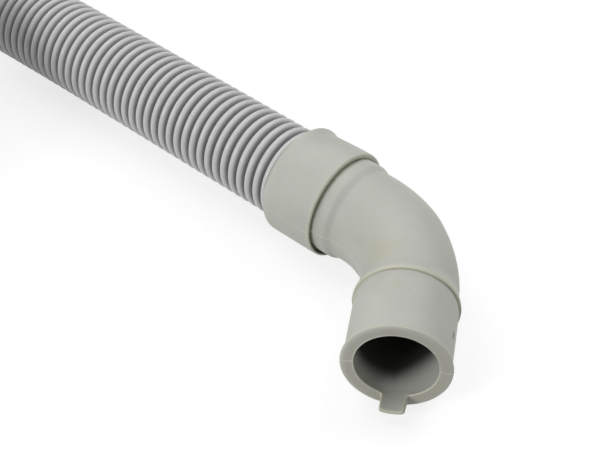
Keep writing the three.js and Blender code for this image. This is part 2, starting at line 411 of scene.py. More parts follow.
def arc(
    r: float, along: float, size: tuple[float, float], turn: tuple[float, float], steps: int
) -> np.ndarray:
    """Points of a rounded edge in a profile: centre plus width times cosine and depth times sine.

    Args:
        r: distance of the arc's centre from the axis.
        along: place of the arc's centre along the axis.
        size: the arc's radius away from the axis, and its radius along it.
        turn: first and last angle in degrees.
        steps: number of steps.

    Returns:
        Rows of distance from the axis and place along it.
    """
    a = np.radians(np.linspace(*turn, steps + 1))
    return rows(r + size[0] * np.cos(a), along + size[1] * np.sin(a))


def line(start: tuple[float, float], end: tuple[float, float], steps: int) -> np.ndarray:
    """Even points of a straight stretch of a profile from its start, without its last one."""
    t = np.arange(steps)[:, None] / steps
    return np.array(start) * (1 - t) + np.array(end) * t


def smooth(t: np.ndarray) -> np.ndarray:
    """Eases from 0 to 1 as three t squared minus two t cubed, with t held in that range."""
    t = np.clip(t, 0, 1)
    return t * t * (3 - 2 * t)


def bell(value: np.ndarray, width: float, power: int = 2) -> np.ndarray:
    """Bell curve: e to the power of minus the value's share of the width, squared or to a higher power."""
    return np.exp(-((value / width) ** power))


def joined(stretches: list[Stretch]) -> tuple[np.ndarray, np.ndarray]:
    """Joins stretches of a profile: its rows, and how much painted edge highlight each row gets."""
    edge = np.concatenate([np.full(len(points), edge_highlight) for points, edge_highlight in stretches])
    return np.concatenate([points for points, _ in stretches]), edge


def profile_normals(profile: np.ndarray) -> np.ndarray:
    """Unit normals of a closed profile: the way from one neighbour to the other, turned a quarter.

    Args:
        profile: rows of distance from the axis and place along it.

    Returns:
        Rows of the same two components.
    """
    way = np.roll(profile, -1, axis=0) - np.roll(profile, 1, axis=0)
    way /= np.linalg.norm(way, axis=1, keepdims=True) + 1e-12
    return np.stack([way[:, 1], -way[:, 0]], axis=-1)


def round_angles(count: int, extra: np.ndarray = np.empty(0)) -> np.ndarray:
    """Angles round a sleeve, close together where the parting line runs.

    Args:
        count: number of even angles.
        extra: further angles in radians, which take the place of even ones near them.

    Returns:
        Rising angles in radians, without doubles.
    """
    even = np.degrees(np.arange(count) * FULL_TURN / count)
    steps = (0.0, 0.3, 0.7, 1.1, 1.7)
    close = np.array([side + sign * d for side in (0.0, 180.0) for d in steps for sign in (-1, 1)])
    more = np.degrees(extra)
    kept = [a for a in even if not len(more) or np.abs((a - more + 180) % 360 - 180).min() > 1.2]
    return np.radians(np.unique(np.round(np.concatenate([kept, close, more]) % 360, 5)))


@dataclass
class Sleeve:
    """Sizes and shapes that the elbow and the straight end share."""

    bore_radius: float = 10.3 * MM
    spigot_radius: float = 12.95 * MM
    lip_height: float = 0.6 * MM
    lip_length: float = 0.7 * MM
    lip_round: float = 1.8 * MM
    lip_depth: float = 0.45 * MM
    lip_blend: float = 0.7 * MM
    # Tan dirt with painted shade on the mouth's face and on its lip's rounding
    face_grime: float = 0.4
    lip_grime: float = 0.25
    grime_places: tuple[float, float, float] = (0.9, 0.45, 0.08)
    grime_inset: float = 0.35 * MM
    hose_radius: float = 12.55 * MM
    clearance: float = 0.3 * MM
    cuff_wall: float = 2.15 * MM
    cuff_length: float = 17.7 * MM
    cuff_edge: float = 2.6 * MM
    socket_depth: float = 13.4 * MM
    socket_edge: float = 0.25 * MM
    flash_height: float = 0.07 * MM
    flash_width: float = 0.15 * MM
    flash_tint: float = 0.65

    @property
    def lip_radius(self) -> float:
        """Radius over the end lip."""
        return self.spigot_radius + self.lip_height

    @property
    def lip_end(self) -> float:
        """Where the lip's slope has come down to the spigot."""
        return self.lip_length + self.lip_blend

    @property
    def socket_radius(self) -> float:
        """Radius of the socket that the hose sits in."""
        return self.hose_radius + self.clearance

    @property
    def cuff_radius(self) -> float:
        """Radius over the cuff."""
        return self.socket_radius + self.cuff_wall

    def lip_profile(self, face_from: float) -> list[Stretch]:
        """Face, rounded lip and its slope down to the spigot.

        Args:
            face_from: distance from the axis at which the face starts.

        Returns:
            Stretches of the profile.
        """
        flat = self.lip_radius - self.lip_round
        shape = (flat, self.lip_depth, (self.lip_round, self.lip_depth))
        t = np.linspace(0, 1, 7)
        return [
            (line((face_from, 0), (flat, 0), 6), 0.0),
            (arc(*shape, (-90, -40), 8)[:-1], 0.0),
            (arc(*shape, (-40, -20), 4)[:-1], 0.2),
            (arc(*shape, (-20, 0), 4), 0.6),
            (line((self.lip_radius, self.lip_depth), (self.lip_radius, self.lip_length), 3)[1:], 0.7),
            (rows(self.lip_radius - self.lip_height * smooth(t), self.lip_length + self.lip_blend * t), 0.2),
        ]

    def socket_profile(self, mouth_at: float) -> list[Stretch]:
        """Cuff's rounded mouth and the socket, back to the water way.

        Args:
            mouth_at: place of the cuff's mouth along the axis.

        Returns:
            Stretches of the profile.
        """
        floor = mouth_at - self.socket_depth
        edge, inner_edge = self.cuff_edge, self.socket_edge
        inner = self.socket_radius + inner_edge
        # The outer rounding stops where it meets the inner one, at the mouth's furthest place
        last = math.degrees(math.acos((inner - self.cuff_radius + edge) / edge))
        outer_at = mouth_at - edge * math.sin(math.radians(last))
        return [
            (arc(self.cuff_radius - edge, outer_at, (edge, edge), (0, last), 12)[:-1], 0.1),
            (arc(inner, mouth_at - inner_edge, (inner_edge, inner_edge), (90, 180), 4), 0.35),
            (line((self.socket_radius, mouth_at - 2 * inner_edge), (self.socket_radius, floor), 8), 0.0),
            (line((self.socket_radius, floor), (self.bore_radius, floor), 3), 0.0),
        ]

    def grime_share(self, radius: np.ndarray, along: np.ndarray) -> np.ndarray:
        """How much tan dirt and painted shade lie on the mouth's face: less on the rounding of its lip, and
        none on top of it.

        Args:
            radius: distances from the axis.
            along: places along the axis.

        Returns:
            Numbers from 0 to 1, shaped as the input.
        """
        places = [self.lip_radius - share * self.lip_round for share in self.grime_places]
        at_mouth = (np.abs(along) < self.lip_depth) & (radius > self.bore_radius + self.grime_inset)
        return at_mouth * np.interp(radius, places, [self.face_grime, self.lip_grime, 0.0])

    def flash_share(self, theta: np.ndarray) -> np.ndarray:
        """How much of the parting line shows at an angle: a bell curve about 0 and 180 degrees."""
        return bell(self.spigot_radius * np.sin(theta), self.flash_width)


@dataclass
class Elbow(Sleeve):
    """One-piece moulded elbow: mouth with a locating tab, spigot, bead, bend, collar, groove and cuff."""

    spigot_length: float = 19.8 * MM
    undercut: float = 0.1 * MM
    undercut_from: float = 0.45 * MM
    undercut_full: float = 0.22 * MM
    undercut_lead: float = 0.05 * MM
    bead_height: float = 0.5 * MM
    bead_step: float = 0.25 * MM
    bead_edge: float = 0.22 * MM
    bead_length: float = 0.55 * MM
    flare_length: float = 4.9 * MM
    tube_radius: float = 12.43 * MM
    bend_radius: float = 29.3 * MM
    bend_angle: float = math.radians(57.6)
    bend_swell: float = 0.25 * MM
    bend_swell_from: float = 12 * MM
    bend_swell_over: float = 6 * MM
    bend_waist: float = 0.18 * MM
    bend_waist_at: float = 7.5 * MM
    bend_waist_width: float = 4.5 * MM
    shoulder_start: float = 1.5 * MM
    shoulder_length: float = 2.6 * MM
    collar_length: float = 3.4 * MM
    collar_height: float = 0.86 * MM
    collar_drop: float = 0.38 * MM
    collar_drop_over: float = 1.6 * MM
    collar_drop_side: float = math.radians(115)
    hump: float = 0.38 * MM
    hump_at: float = 2.1 * MM
    hump_width: float = 1.2 * MM
    hump_side: float = math.radians(40)
    dip: float = 0.2 * MM
    dip_from: float = 2.5 * MM
    dip_over: float = 1.8 * MM
    dip_fade: float = 11 * MM
    groove_width: float = 0.6 * MM
    groove_off_centre: float = 0.48 * MM
    groove_wide_side: float = math.radians(215)
    groove_depth: float = 3.0 * MM
    rim_edge: float = 0.72 * MM
    rim_inner_edge: float = 0.3 * MM
    bore_flash: float = 0.12 * MM
    bore_edge_from: float = 0.6 * MM
    bore_edge_at: float = 0.2 * MM
    lip_shift: tuple[float, float] = (-0.06 * MM, -0.32 * MM)
    lip_shift_over: float = 3 * MM
    mouth_setback: float = 0.45 * MM
    tab_length: float = 4.9 * MM
    tab_width: float = 5.9 * MM
    tab_thickness: float = 1.05 * MM
    tab_corner: float = 0.55 * MM
    tab_root: float = 0.8 * MM
    tab_small_root: float = 0.25 * MM
    tab_draft: float = 0.12 * MM
    tab_offset: float = 0.15 * MM
    tab_lean: float = 0.33 * MM
    tab_taper: float = 0.04
    tab_droop: float = 0.35 * MM
    tab_end_round: float = 0.3 * MM
    tab_rows: int = 44
    tab_side_width: float = 0.5 * MM
    rim_bead: float = 0.1 * MM
    rim_bead_width: float = 0.09 * MM
    # Painted shade in the bore: where it sets in, where it is whole, and how both move round the bore
    residue_from: float = 1.9 * MM
    residue_full: float = 8.5 * MM
    residue_slant: tuple[float, float] = (3.4 * MM, 7.5 * MM)
    residue_far_side: float = math.radians(350)
    lip_flash_tint: float = 0.95
    cuff_flash_tint: float = 0.4

    @property
    def bend_start(self) -> float:
        """Where the bend starts, measured behind the mouth."""
        return self.spigot_length + self.bead_step + self.bead_length + self.flare_length

    @property
    def bend_end(self) -> float:
        """Where the bend ends."""
        return self.bend_start + self.bend_radius * self.bend_angle

    @property
    def rim_at(self) -> float:
        """Where the cuff's rim is."""
        return self.bend_end + self.shoulder_start + self.shoulder_length + self.collar_length

    @property
    def cuff_mouth(self) -> float:
        """Where the cuff's mouth is."""
        return self.rim_at + self.cuff_length

    @property
    def groove_walls(self) -> tuple[float, float]:
        """Radii of the groove's inner wall, which is the collar's, and of its outer wall."""
        collar = self.tube_radius + self.bend_swell + self.collar_height
        return collar, collar + self.groove_width

    def mouth_centre(self) -> np.ndarray:
        """Centre of the mouth's face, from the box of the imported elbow."""
        low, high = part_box("elbow_end")
        return np.array([high.x - self.lip_radius, low.y + self.tab_length, self.cuff_radius])

    def centreline(self, along: np.ndarray) -> tuple[np.ndarray, np.ndarray]:
        """Centreline of the elbow: straight, then a circular arc, then straight.

        Args:
            along: distances behind the mouth.

        Returns:
            The points, and the unit vectors towards the outer side of the bend.
        """
        angle = np.clip((along - self.bend_start) / self.bend_radius, 0, self.bend_angle)
        past = np.maximum(along - self.bend_end, 0)
        cos, sin, zero = np.cos(angle), np.sin(angle), np.zeros_like(angle)
        x = self.bend_radius * (cos - 1) - past * sin
        y = np.minimum(along, self.bend_start) + self.bend_radius * sin + past * cos
        return np.stack([x, y, zero], axis=-1) + self.mouth_centre(), np.stack([cos, sin, zero], axis=-1)

    def bead_profile(self) -> list[Stretch]:
        """Spigot's wall, the undercut at its end, the bead and the hollow flare down to the tube.

        Returns:
            Stretches of the profile.
        """
        wall, foot, edge = self.spigot_radius, self.spigot_length, self.bead_edge
        top, bead, low = foot + self.bead_step, wall + self.bead_height, wall - self.undercut
        cut_from = foot - self.undercut_from
        t = np.linspace(0, 1, 13)[:-1]
        hollow = self.tube_radius + (bead - self.tube_radius) * (1 - smooth(t**0.7))
        flare = rows(hollow, top + self.bead_length + t * self.flare_length)
        return [
            (line((wall, self.lip_end), (wall, cut_from - self.undercut_lead), 10)[1:], 0.0),
            (np.array([(wall, cut_from)]), 0.0),
            (np.array([(low, foot - self.undercut_full), (low, foot)]), 0.5),
            (arc(bead - edge, foot + edge, (edge, edge), (-90, 0), 5), 0.8),
            (line((bead, top + edge), (bead, top + self.bead_length), 3), 0.6),
            (flare[:3], 0.3),
            (flare[3:], 0.0),
        ]

    def bend_profile(self, radius: float, steps: int, shaped: bool) -> np.ndarray:
        """Stations along the bend: even in the bore, and outside with a slight waist and then a swell.

        Args:
            radius: distance from the centreline at the bend's start.
            steps: number of steps.
            shaped: whether the waist and the swell are there.

        Returns:
            Rows of distance from the centreline and place along it.
        """
        past = np.linspace(0, self.bend_end - self.bend_start, steps + 1)
        swell = self.bend_swell * smooth((past - self.bend_swell_from) / self.bend_swell_over)
        waist = self.bend_waist * bell(past - self.bend_waist_at, self.bend_waist_width)
        return rows(radius + shaped * (swell - waist), self.bend_start + past)

    def collar_profile(self) -> list[Stretch]:
        """Shoulder, collar, the ring-shaped groove behind it and the rim and wall of the cuff.

        Returns:
            Stretches of the profile.
        """
        collar, groove = self.groove_walls
        start = self.bend_end + self.shoulder_start
        t = np.linspace(0, 1, 11)
        level = collar - self.collar_height * (1 - smooth(t))
        rim, floor = self.rim_at, self.rim_at + self.groove_depth
        edge, inner = self.rim_edge, self.rim_inner_edge
        cuff, last = self.cuff_radius, self.cuff_mouth - self.mouth_setback - self.cuff_edge
        return [
            (rows(level, start + self.shoulder_length * t), 0.0),
            (line((collar, start + self.shoulder_length + 0.3 * MM), (collar, rim), 14), 0.0),
            # The groove's walls and floor get the painted edge highlight, which lightens their shade
            (line((collar, rim), (collar, floor), 8), 0.8),
            (line((collar, floor), (groove, floor), 3), 1.0),
            (line((groove, floor), (groove, rim + inner), 8), 1.0),
            (arc(groove + inner, rim + inner, (inner, inner), (-180, -90), 5), 0.8),
            (arc(cuff - edge, rim + edge, (edge, edge), (-90, 0), 9), 0.5),
            (line((cuff, rim + 1.5 * edge), (cuff, last), 12), 0.0),
        ]

    def bore_profile(self) -> list[Stretch]:
        """Bore, from the socket's floor back through the bend to the mouth.

        Returns:
            Stretches of the profile, the last two of which are single rows just inside the mouth.
        """
        bore = self.bore_radius
        return [
            (self.bend_profile(bore, 28, False)[::-1], 0.0),
            (line((bore, self.bend_start), (bore, self.bore_edge_from), 26)[1:], 0.0),
            # The bore's edge gets a painted highlight
            (np.array([(bore, self.bore_edge_from)]), 0.3),
            (np.array([(bore, self.bore_edge_at)]), 0.9),
        ]

    def groove_shift(self, theta: np.ndarray, radius: np.ndarray, along: np.ndarray) -> np.ndarray:
        """Moves the groove's outer wall off centre, so that the groove is narrow on one side.

        The shift is whole at the groove's wall, fades to zero at the collar and at the cuff's own
        surface, and follows the cosine of the angle from the groove's wide side.

        Args:
            theta: angles round the elbow.
            radius: distances from the centreline.
            along: places behind the mouth.

        Returns:
            Changes of the radius, as an array of rows by angles.
        """
        share = np.interp(radius, [*self.groove_walls, self.cuff_radius], [0, 1, 0]) * (along >= self.rim_at)
        return self.groove_off_centre * np.cos(theta - self.groove_wide_side)[None, :] * share

    def collar_ease(self, theta: np.ndarray, radius: np.ndarray, along: np.ndarray) -> np.ndarray:
        """How much the collar falls away towards the groove, which is on the upper side alone.

        Args:
            theta: angles round the elbow.
            radius: distances from the centreline.
            along: places behind the mouth.

        Returns:
            Changes of the radius, as an array of rows by angles.
        """
        on_collar = np.abs(radius - self.groove_walls[0]) < 0.02 * MM
        near = smooth((along - self.rim_at + self.collar_drop_over) / self.collar_drop_over)
        side = smooth((np.cos(theta - self.collar_drop_side) - 0.5) / 0.4)[None, :]
        return -self.collar_drop * on_collar * near * side

    def cuff_shape(self, theta: np.ndarray, radius: np.ndarray, along: np.ndarray) -> np.ndarray:
        """How the hose shapes the cuff: a hump near its mouth and a shallow dip in front of it.

        The hump is a bell curve, and the dip eases in beside it and fades out towards the rim. Both lie
        on the outer upper side alone, and they fade to zero inside the cuff's wall.

        Args:
            theta: angles round the elbow.
            radius: distances from the centreline.
            along: places behind the mouth.

        Returns:
            Changes of the radius, as an array of rows by angles.
        """
        inside = self.cuff_mouth - along
        hump = self.hump * bell(inside - self.hump_at, self.hump_width)
        fade = 1 - smooth((inside - self.dip_from - self.dip_over) / self.dip_fade)
        dip = self.dip * smooth((inside - self.dip_from) / self.dip_over) * fade
        side = smooth((np.cos(theta - self.hump_side) - 0.6) / 0.35)[None, :]
        return (hump - dip) * side * smooth((radius - self.socket_radius - 0.5 * MM) / (self.cuff_wall - MM))

    def residue_share(self, theta: np.ndarray, radius: np.ndarray, along: np.ndarray) -> np.ndarray:
        """How much painted shade lies in the bore: it sets in at a depth, which is greater on the far side.

        Args:
            theta: angles round the elbow.
            radius: distances from the centreline.
            along: places behind the mouth.

        Returns:
            Numbers from 0 to 1, as an array of rows by angles.
        """
        slant = np.clip((np.cos(theta - self.residue_far_side) - 0.1) / 0.9, 0, 1)[None, :]
        first = self.residue_from + self.residue_slant[0] * slant
        full = self.residue_full + self.residue_slant[1] * slant
        return smooth((along - first) / (full - first)) * (np.abs(radius - self.bore_radius) < 0.05 * MM)

    def lip_share(self, radius: np.ndarray, along: np.ndarray) -> np.ndarray:
        """How much a place moves with the lip, which sits a little off the bore's axis.

        It is whole at the lip, and fades to zero at the bore's edge, round the tab and along the spigot.

        Args:
            radius: distances from the centreline.
            along: places behind the mouth.

        Returns:
            Numbers from 0 to 1, shaped as the input.
        """
        inner = self.bore_radius + self.tab_thickness
        across = smooth((radius - inner) / (self.lip_radius - self.lip_round - inner))
        return across * (1 - smooth((along - self.lip_end) / self.lip_shift_over)) * (along > -self.lip_depth)

    def tab_angles(self) -> np.ndarray:
        """Angles at which the lines across the locating tab and its filleted roots run.

        Each is the arcsine of the line's distance from the tab's middle over the bore's radius, and the
        lines lie closer together on the round corners and roots, by the sine and cosine of even angles.

        Returns:
            Rising angles in radians.
        """
        half = self.tab_width / 2
        flat = np.linspace(0, half - self.tab_corner, 5)
        corner = half - self.tab_corner * (1 - np.sin(np.radians(np.linspace(0, 90, 8)[1:])))
        inner, outer = (
            half + self.tab_draft + root * (1 - np.cos(np.radians(np.linspace(0, 90, steps))))
            for root, steps in ((self.tab_root, 7), (self.tab_small_root, 4))
        )
        x = np.concatenate([-inner[::-1], -corner[::-1], -flat[:0:-1], flat, corner, outer])
        return np.arcsin(x / self.bore_radius) - math.pi / 2

    def tab_reach(self, theta: np.ndarray) -> np.ndarray:
        """How far the tab stands out of the face: a flat end, round corners, steep sides and round roots.

        Args:
            theta: angles round the bore.

        Returns:
            Lengths, one an angle, which are zero away from the tab.
        """
        x = np.abs(self.bore_radius * np.cos(theta))
        half, corner = self.tab_width / 2, self.tab_corner
        foot = half + self.tab_draft
        root = np.where(np.cos(theta) < 0, self.tab_root, self.tab_small_root)
        end = self.tab_length - corner + np.sqrt(corner**2 - np.clip(x - half + corner, 0, corner) ** 2)
        side = np.clip((x - half) / self.tab_draft, 0, 1)
        fillet = root - np.sqrt(np.maximum(root**2 - np.clip(foot + root - x, 0, root) ** 2, 0))
        reach = np.where(x <= half, end, (self.tab_length - corner) * (1 - side) + root * side)
        return np.where(np.sin(theta) < 0, np.where(x >= foot, fillet, reach), 0.0)

    def tab_surface(self, theta: np.ndarray) -> tuple[np.ndarray, np.ndarray]:
        """Rows from the bore's edge to the face, carried out round the tab where it stands.

        The row at share t lies at that share of the path out along the bore, across the tab's
        thickness and back to the face. Where there is no tab the path only crosses the face.

        Args:
            theta: angles round the bore.

        Returns:
            Distances from the axis and places along it, as arrays of rows by angles.
        """
        reach, thick = self.tab_reach(theta)[None, :], self.tab_thickness
        walked = np.linspace(0, 1, self.tab_rows)[:, None] * (2 * reach + thick)
        across = np.clip(walked - reach, 0, thick)
        out = np.minimum(walked, reach) - np.clip(walked - reach - thick, 0, None)
        share = reach / self.tab_length
        rounded = self.tab_end_round * share * np.abs(2 * across / thick - 1) ** 4 * (out > 0.8 * reach)
        bead = self.rim_bead * bell(across - self.rim_bead, self.rim_bead_width)
        bead = bead * (1 - np.minimum(share * 4, 1))
        return self.bore_radius + across, -(out - rounded + bead)

    def tab_shift(self, theta: np.ndarray, along: np.ndarray) -> tuple[np.ndarray, np.ndarray]:
        """Shift of the tab: its root sits to one side, it leans to the other, narrows and droops a little.

        Args:
            theta: angles round the bore.
            along: places of the tab's rows along the axis.

        Returns:
            Shifts along X and along Z, as arrays of rows by angles.
        """
        x = self.bore_radius * np.cos(theta)[None, :]
        out = np.clip(-along / self.tab_length, 0, 1)
        root = bell(x, self.tab_width, 4) * (np.sin(theta) < 0)
        return root * self.tab_offset - (self.tab_lean + self.tab_taper * x) * out, -self.tab_droop * out**2

    def tab_highlight(self, theta: np.ndarray, radius: np.ndarray, along: np.ndarray) -> np.ndarray:
        """How much painted highlight the rows near the mouth get: on the bore's rim, more on its lower half,
        and on the tab's sides and end.

        Args:
            theta: angles round the bore.
            radius: distances of the rows from the axis.
            along: places of the rows along the axis.

        Returns:
            Numbers from 0 to 1, as an array of rows by angles.
        """
        out = np.clip(-along / self.tab_length, 0, 1)
        x = np.abs(self.bore_radius * np.cos(theta))[None, :]
        sides = bell(x - self.tab_width / 2, self.tab_side_width) * smooth(out * 8)
        rim = bell(radius - self.bore_radius - 0.08 * MM, 0.13 * MM) * (1 - smooth(out * 12))
        # The painted highlight on the bore's rim is stronger on its lower half
        lower = 0.15 + 0.85 * smooth(0.5 - 4 * np.sin(theta))[None, :]
        return np.maximum(0.9 * np.maximum(sides, smooth((out - 0.9) / 0.08)), rim * lower)

    def web(self, theta: np.ndarray) -> np.ndarray:
        """Share of the groove's depth that is left: little at the parting line's web and on the far side.

        Args:
            theta: angles round the elbow.

        Returns:
            Numbers from 0 to 1, one an angle.
        """
        shallow = smooth((np.cos(theta - self.hump_side) - 0.75) / 0.2)
        return 1 - 0.93 * np.maximum(np.clip(1.6 * self.flash_share(theta) - 0.3, 0, 1), shallow)

    def build(self, finish: MouldedRubber) -> bpy.types.Object:
        """Builds the elbow: its closed profile is turned about the centreline and bent with it.

        The parting line is a low ridge on the outer faces, and it bridges the groove as a thin web.

        Args:
            finish: the rubber.

        Returns:
            The finished piece.
        """
        theta = round_angles(120, self.tab_angles())
        outer = [
            *self.lip_profile(self.bore_radius + self.tab_thickness + 0.2 * MM),
            *self.bead_profile(),
            (self.bend_profile(self.tube_radius, 56, True), 0.0),
            *self.collar_profile(),
        ]
        inner = [*self.socket_profile(self.cuff_mouth - self.mouth_setback), *self.bore_profile()]
        profile, edge = joined(outer + inner)
        tab_r, tab_along = self.tab_surface(theta)
        tab = self.tab_rows
        groove_end = tab + len(joined(outer)[0])
        outside = (np.arange(tab + len(profile)) < groove_end)[:, None]
        radius = np.concatenate([tab_r, np.repeat(profile[:, :1], len(theta), axis=1)])
        along = np.concatenate([tab_along, np.repeat(profile[:, 1:], len(theta), axis=1)])
        normals = profile_normals(np.stack([radius[:, 0], along[:, 0]], axis=-1))
        shown = outside * self.flash_share(theta)[None, :]
        in_groove = outside & (along > self.rim_at) & (radius < self.groove_walls[1] + 1e-6)
        along = np.where(in_groove, self.rim_at + (along - self.rim_at) * self.web(theta)[None, :], along)
        radius += self.collar_ease(theta, radius, along) + self.cuff_shape(theta, radius, along)
        radius[tab:] += (self.groove_shift(theta, radius, along) * outside)[tab:]
        radius += self.flash_height * shown * normals[:, :1]
        along += self.flash_height * shown * normals[:, 1:]
        bare = 1 - smooth(self.tab_reach(theta) / (0.5 * MM))
        radius[-1] -= self.bore_flash * bare * (1 + 0.4 * np.cos(theta))
        centre, outward = self.centreline(along)
        spot = centre + outward * (radius * np.cos(theta))[..., None]
        spot[..., 2] += radius * np.sin(theta)
        sideways, down = self.tab_shift(theta, tab_along)
        spot[:tab, :, 0] += sideways
        spot[:tab, :, 2] += down
        spot[..., (0, 2)] += self.lip_share(radius, along)[..., None] * np.array(self.lip_shift)
        flat_highlight = np.repeat(edge[:, None], len(theta), axis=1)
        edge_highlight = np.concatenate([self.tab_highlight(theta, tab_r, tab_along), flat_highlight])
        edge_highlight[-2:] *= bare
        tints = [self.lip_flash_tint, self.cuff_flash_tint]
        tint = np.select([along < self.lip_length, along > self.rim_at], tints, self.flash_tint)
        return mesh_piece(
            "moulded_elbow",
            spot.reshape(-1, 3),
            [grid_faces(len(radius), len(theta), closed_rows=True)],
            finish.material(),
            sharp_angle=50,
            # The edge weights paint a highlight on edges and in the groove
            edge=edge_highlight,
            flash=tint * shown,
            grime=self.grime_share(radius, along),
            residue=self.residue_share(theta, radius, along),
        )


@dataclass
class StraightEnd(Sleeve):
    """Straight moulded end with the elbow's lip, spigot, cuff and socket."""

    spigot_length: float = 16 * MM
    shoulder_length: float = 2.6 * MM
    mouth_edge: float = 0.2 * MM
    # Depth at which the painted shade in the bore is whole
    residue_full: float = 15 * MM

    @property
    def cuff_mouth(self) -> float:
        """Where the cuff's mouth is, measured behind the mouth of the spigot."""
        return self.spigot_length + self.shoulder_length + self.cuff_length

    def build(self, route: "HoseRoute", finish: MouldedRubber) -> bpy.types.Object:
        """Builds the straight end: its closed profile turned about the last stretch of the hose.

        Args:
            route: the hose's route, whose end the sleeve sits on.
            finish: the rubber.

        Returns:
            The finished piece.
        """
        bore, wall, cuff = self.bore_radius, self.spigot_radius, self.cuff_radius
        t = np.linspace(0, 1, 12)
        rise = rows(wall + (cuff - wall) * smooth(t), self.spigot_length + self.shoulder_length * t)
        outer = [
            (line((bore, 0), (bore + self.mouth_edge, 0), 2), 0.3),
            *self.lip_profile(bore + self.mouth_edge),
            (line((wall, self.lip_end), (wall, self.spigot_length), 8)[1:], 0.0),
            (rise, 0.0),
            (line((cuff, rise[-1, 1]), (cuff, self.cuff_mouth - self.cuff_edge), 8)[1:], 0.0),
            self.socket_profile(self.cuff_mouth)[0],
        ]
        back = (line((bore, self.cuff_mouth - self.socket_depth), (bore, 0), 10), 0.0)
        profile, edge = joined([*outer, *self.socket_profile(self.cuff_mouth)[1:], back])
        outside = np.arange(len(profile)) < len(joined(outer)[0])
        theta = round_angles(72)
        shown = outside[:, None] * self.flash_share(theta)[None, :]
        normals = profile_normals(profile)[:, None, :]
        offset = profile[:, None, :] + self.flash_height * shown[..., None] * normals
        seat, heading = route.end_seat()
        across = np.array([-heading[1], heading[0], 0.0])
        # The sleeve's mouth lies ahead of the hose's end, so its profile runs back against the heading
        spot = seat + (self.cuff_mouth - offset[..., 1])[..., None] * heading
        spot += across * (offset[..., 0] * np.cos(theta))[..., None]
        spot[..., 2] += offset[..., 0] * np.sin(theta)
        return mesh_piece(
            "moulded_straight_end",
            spot.reshape(-1, 3),
            [grid_faces(len(profile), len(theta), closed_rows=True)],
            finish.material(),
            sharp_angle=50,
            edge=np.repeat(edge[:, None], len(theta), axis=1),
            flash=self.flash_tint * shown,
            grime=self.grime_share(offset[..., 0], offset[..., 1]),
            # Painted shade that deepens into the bore
            residue=smooth(offset[..., 1] / self.residue_full) * (offset[..., 0] < bore + 0.05 * MM),
        )


